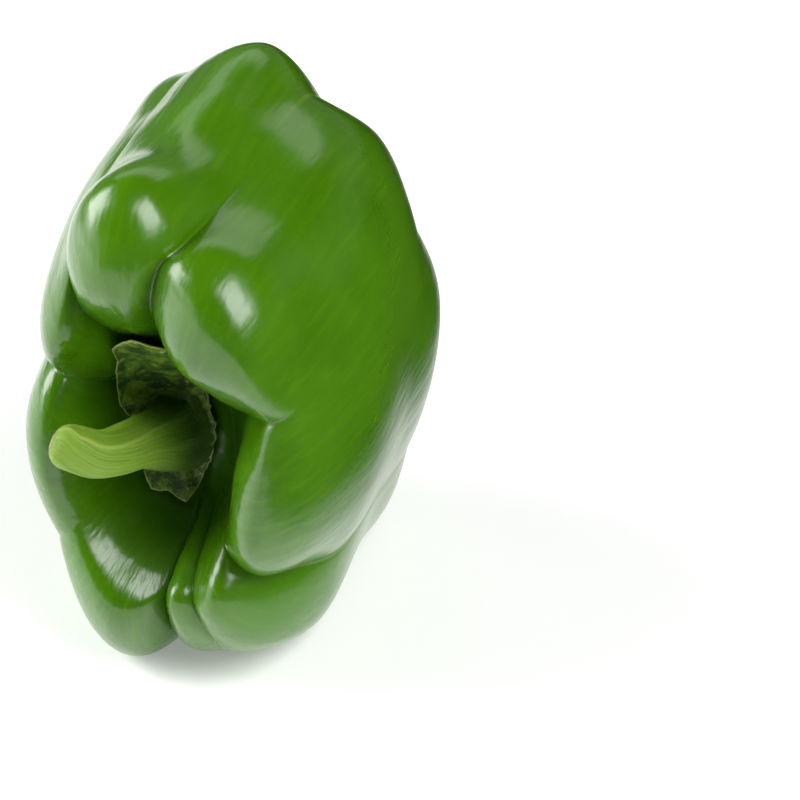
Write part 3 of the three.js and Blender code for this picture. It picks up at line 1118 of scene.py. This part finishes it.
@dataclass
class Stem:
    """The ribbed stalk that leaves the calyx, bends to the side and ends in a dry cut."""

    path: tuple[Triple, ...] = (
        (-2.2, 67.3, -2.0),
        (-2.3, 71.0, -1.6),
        (-2.7, 76.5, 0.6),
        (-3.3, 82, 3.4),
        (-5, 88, 5),
        (-6.9, 91.6, 6.3),
        (-9.5, 93, 7.4),
        (-13.3, 93.5, 8.5),
    )
    radii: tuple[float, ...] = (9.8, 7.0, 5.3, 4.4, 4.0, 3.9, 3.9, 3.7)
    ribs: tuple[Rib, ...] = (
        Rib(112, 170, 14, 0.6),
        Rib(160, 212, 13, 0.22),
        Rib(60, 110, 18, 0.4),
        Rib(10, 50, 22, 0.45),
        Rib(298, 330, 22, 0.45),
        Rib(208, 262, 20, 0.35),
    )
    segments: int = 144
    rows: int = 90
    end_rings: tuple[float, ...] = (0.05, 0.07, 0.1, 0.14, 0.2, 0.2)
    ridge_width: float = 0.45
    tangent_step: float = 0.01
    flow_length: float = 1.6
    # How fast the foot's direction, its ribs and its flatness give way to those of the stalk
    turn_pace: float = 6.0
    rib_pace: float = 2.5
    squash_pace: float = 3.0
    foot_ribs: float = 1.5
    stalk_ribs: float = 0.8
    foot_squash: float = 0.66
    # The cut end: how far it domes, where its edge rounds off and by how much, and where it starts
    dome: float = 0.6
    rounding: float = 0.08
    rounding_depth: float = 0.55
    end: float = 0.999
    cut_edge: tuple[float, float] = (0.985, 1.0)
    pith_edge: tuple[float, float] = (0.8, 0.6)
    uneven: Unevenness = Unevenness(0.12, 3)
    uneven_end: Unevenness = Unevenness(0.12, 6)
    finish: StemFinish = field(default_factory=StemFinish)

    def centre(self, along: float) -> Vector:
        """Gives a point of the centre line.

        Args:
            along: 0 at the foot and 1 at the cut.

        Returns:
            The point, in millimetres.
        """
        t = along * (len(self.path) - 1)
        x, height, z = (curve_through([point[k] for point in self.path], t) for k in range(3))
        return Vector((AXIS_SIDE + x, AXIS_BACK - height, AXIS_ABOVE_TABLE + z))

    def ribbing(self, angle: float, along: float) -> tuple[float, float]:
        """Gives the ribs at one point of the stem.

        Args:
            angle: The angle round the stem, in degrees.
            along: 0 at the foot and 1 at the cut.

        Returns:
            The height of the ribs in millimetres, and how much the point lies on the strong rib.
        """
        height = 0.0
        for rib in self.ribs:
            turned = turn_between(angle, mix(rib.foot, rib.end, along))
            height += rib.height * bump_at(turned, rib.width)
        strong = self.ribs[0]
        turned = turn_between(angle, mix(strong.foot, strong.end, along))
        on_strong = bump_at(turned, strong.width * self.ridge_width)
        return height, on_strong

    def build(self) -> bpy.types.Object:
        """Bends a ribbed cylinder along the centre line, rounds its end and stores what its finish reads.

        Returns:
            The piece.
        """
        made = bmesh.new()
        bmesh.ops.create_cone(
            made, cap_ends=True, cap_tris=False, segments=self.segments, radius1=1, radius2=1, depth=1
        )
        upright = [edge for edge in made.edges if abs(edge.verts[0].co.z - edge.verts[1].co.z) > 0.5]
        bmesh.ops.subdivide_edges(made, edges=upright, cuts=self.rows - 1)
        ends = [face for face in made.faces if abs(face.normal.z) > 0.9]
        for thickness in self.end_rings:
            bmesh.ops.inset_region(made, faces=ends, thickness=thickness, use_even_offset=True)
        flow = made.verts.layers.float_vector.new("flow")
        names = ("along", "ridge", "cut", "pith")
        reached, ridge, cut, pith = (made.verts.layers.float.new(name) for name in names)
        sideways = Vector((1, 0, 0))
        for vertex in made.verts:
            along = min(max(vertex.co.z + 0.5, 0.0), 1.0)
            share = min(math.hypot(vertex.co.x, vertex.co.y), 1.0)
            turn = math.atan2(vertex.co.y, vertex.co.x)
            angle = math.degrees(turn)
            ribbing, strong = self.ribbing(angle, along)
            ahead = self.centre(min(along + self.tangent_step, 1.0))
            behind = self.centre(max(along - self.tangent_step, 0.0))
            tangent = (ahead - behind).normalized()
            tangent = tangent.lerp(Vector((0, -1, 0)), 1 - ease(along * self.turn_pace)).normalized()
            first = tangent.cross(sideways).normalized()
            second = tangent.cross(first)
            swirl = Vector((math.cos(turn), math.sin(turn), along * self.flow_length))
            radius = curve_through(self.radii, along * (len(self.radii) - 1)) + self.uneven.at(swirl)
            ribbed = mix(self.foot_ribs, self.stalk_ribs, ease(along * self.rib_pace))
            radius = (radius + ribbing * ribbed) * share
            squash = mix(self.foot_squash, 1, ease(self.squash_pace * along))
            past = max(along - 1 + self.rounding, 0.0) / self.rounding
            radius *= math.sqrt(1 - self.rounding_depth * past**2)
            point = self.centre(along)
            point += first * (radius * math.sin(turn)) + second * (radius * math.cos(turn) * squash)
            if along > self.end:
                point += tangent * (self.dome * (1 - share**2) + self.uneven_end.at(swirl) * share)
                vertex[cut] = 1.0
                vertex[pith] = ease_between(self.pith_edge, share)
            else:
                vertex[cut] = ease_between(self.cut_edge, along)
            vertex[flow] = swirl
            vertex[reached] = along
            vertex[ridge] = strong
            vertex.co = point * MM
        return finished("pepper_stem", made, self.finish.make())


@dataclass(frozen=True)
class Softbox:
    """A soft light: its direction in degrees, its distance and size in metres and its power in watts."""

    name: str
    azimuth: float
    elevation: float
    away: float
    size: tuple[float, float]
    power: float


@dataclass
class Studio:
    """A pale floor, soft lights and the camera at the photograph's viewing angle."""

    azimuth: float = 20.0
    elevation: float = 33.0
    lens: float = 135.0
    sensor: float = 36.0
    clip: tuple[float, float] = (0.01, 20.0)
    distance: float = 545.45
    right: float = 29.64
    up: float = -7.64
    target: Triple = (AXIS_SIDE, AXIS_BACK - 46, AXIS_ABOVE_TABLE)
    lights: tuple[Softbox, ...] = (
        Softbox("left_light", -80, 30, 1.0, (0.62, 0.58), 8),
        Softbox("left_halo", -80, 30, 1.02, (0.96, 0.9), 5.5),
        Softbox("right_light", 72, 46, 1.0, (0.6, 0.56), 7),
        Softbox("right_halo", 72, 46, 1.02, (0.92, 0.86), 4.2),
        Softbox("side_card", -62, 8, 1.0, (1.1, 0.4), 1.8),
        Softbox("back_light", 195, 34, 1.2, (1.3, 0.35), 1.4),
    )
    aim_height: float = 0.045
    floor_size: float = 4.0
    # How bright the backdrop is to the camera, then low and high on the wall to other rays
    seen: float = 0.95
    wall: float = 0.12
    ceiling: float = 0.01
    wall_heights: tuple[float, float] = (0.1, 0.4)
    floor: FloorFinish = field(default_factory=FloorFinish)

    def direction(self, azimuth: float, elevation: float) -> Vector:
        """Gives a direction from the pepper by its degrees from the front to +X and above the horizon."""
        a, e = math.radians(azimuth), math.radians(elevation)
        return Vector((math.sin(a) * math.cos(e), -math.cos(a) * math.cos(e), math.sin(e)))

    def build_floor(self) -> None:
        """Lays the floor."""
        made = bmesh.new()
        bmesh.ops.create_grid(made, x_segments=1, y_segments=1, size=self.floor_size)
        piece = finished("table_top", made, self.floor.make())

    def add_camera(self) -> None:
        """Places the camera."""
        back = self.direction(self.azimuth, self.elevation)
        turn = math.radians(self.azimuth)
        right = Vector((math.cos(turn), math.sin(turn), 0))
        up = back.cross(right)
        data = bpy.data.cameras.new("camera")
        data.lens = self.lens
        data.sensor_width = self.sensor
        data.clip_start, data.clip_end = self.clip
        camera = bpy.data.objects.new("camera", data)
        place = Vector(self.target) + back * self.distance + right * self.right + up * self.up
        camera.location = place * MM
        camera.rotation_euler = (-back).to_track_quat("-Z", "Y").to_euler()
        bpy.context.scene.collection.objects.link(camera)
        bpy.context.scene.camera = camera

    def add_softbox(self, box: Softbox) -> None:
        """Hangs one soft light that looks at the pepper.

        Args:
            box: The light to hang.
        """
        data = bpy.data.lights.new(box.name, "AREA")
        data.shape = "RECTANGLE"
        data.size, data.size_y = box.size
        data.energy = box.power
        light = bpy.data.objects.new(box.name, data)
        towards = self.direction(box.azimuth, box.elevation)
        light.location = towards * box.away + Vector((0, 0, self.aim_height))
        light.rotation_euler = (-towards).to_track_quat("-Z", "Y").to_euler()
        bpy.context.scene.collection.objects.link(light)

    def build_world(self) -> None:
        """Makes a backdrop that is pale to the camera and dims with height to all other rays."""
        world = bpy.data.worlds.new("studio")
        world.use_nodes = True
        tree = world.node_tree
        background = tree.nodes["Background"]
        background.inputs["Color"].default_value = (1, 1, 1, 1)
        place = tree.nodes.new("ShaderNodeTexCoord")
        split = tree.nodes.new("ShaderNodeSeparateXYZ")
        fade = tree.nodes.new("ShaderNodeMapRange")
        fade.interpolation_type = "SMOOTHSTEP"
        for name, number in zip(RANGE_INPUTS, (*self.wall_heights, self.wall, self.ceiling)):
            fade.inputs[name].default_value = number
        tree.links.new(place.outputs["Generated"], split.inputs["Vector"])
        tree.links.new(split.outputs["Z"], fade.inputs["Value"])
        rays = tree.nodes.new("ShaderNodeLightPath")
        blend = tree.nodes.new("ShaderNodeMix")
        share, first, second = (blend.inputs[index] for index in MIX_NUMBER_INPUTS)
        second.default_value = self.seen
        tree.links.new(rays.outputs["Is Camera Ray"], share)
        tree.links.new(fade.outputs["Result"], first)
        tree.links.new(blend.outputs[MIX_NUMBER_OUTPUT], background.inputs["Strength"])
        bpy.context.scene.world = world

    def build(self) -> None:
        """Sets up the floor, the camera, the lights and the backdrop."""
        self.build_floor()
        self.add_camera()
        for box in self.lights:
            self.add_softbox(box)
        self.build_world()
        bpy.context.scene.view_settings.view_transform = "Standard"
        LOG.info("studio: floor, %d lights and camera", len(self.lights))


def main() -> None:
    """Builds the pepper piece by piece, then its studio."""
    logging.basicConfig(level=logging.INFO, format="%(name)s %(message)s")
    dressed(Fruit().build(), Node.FRUIT.value)
    dressed(Calyx().build(), Node.CALYX.value)
    dressed(Stem().build(), Node.STEM.value)
    Studio().build()


if __name__ == "__main__":
    main()
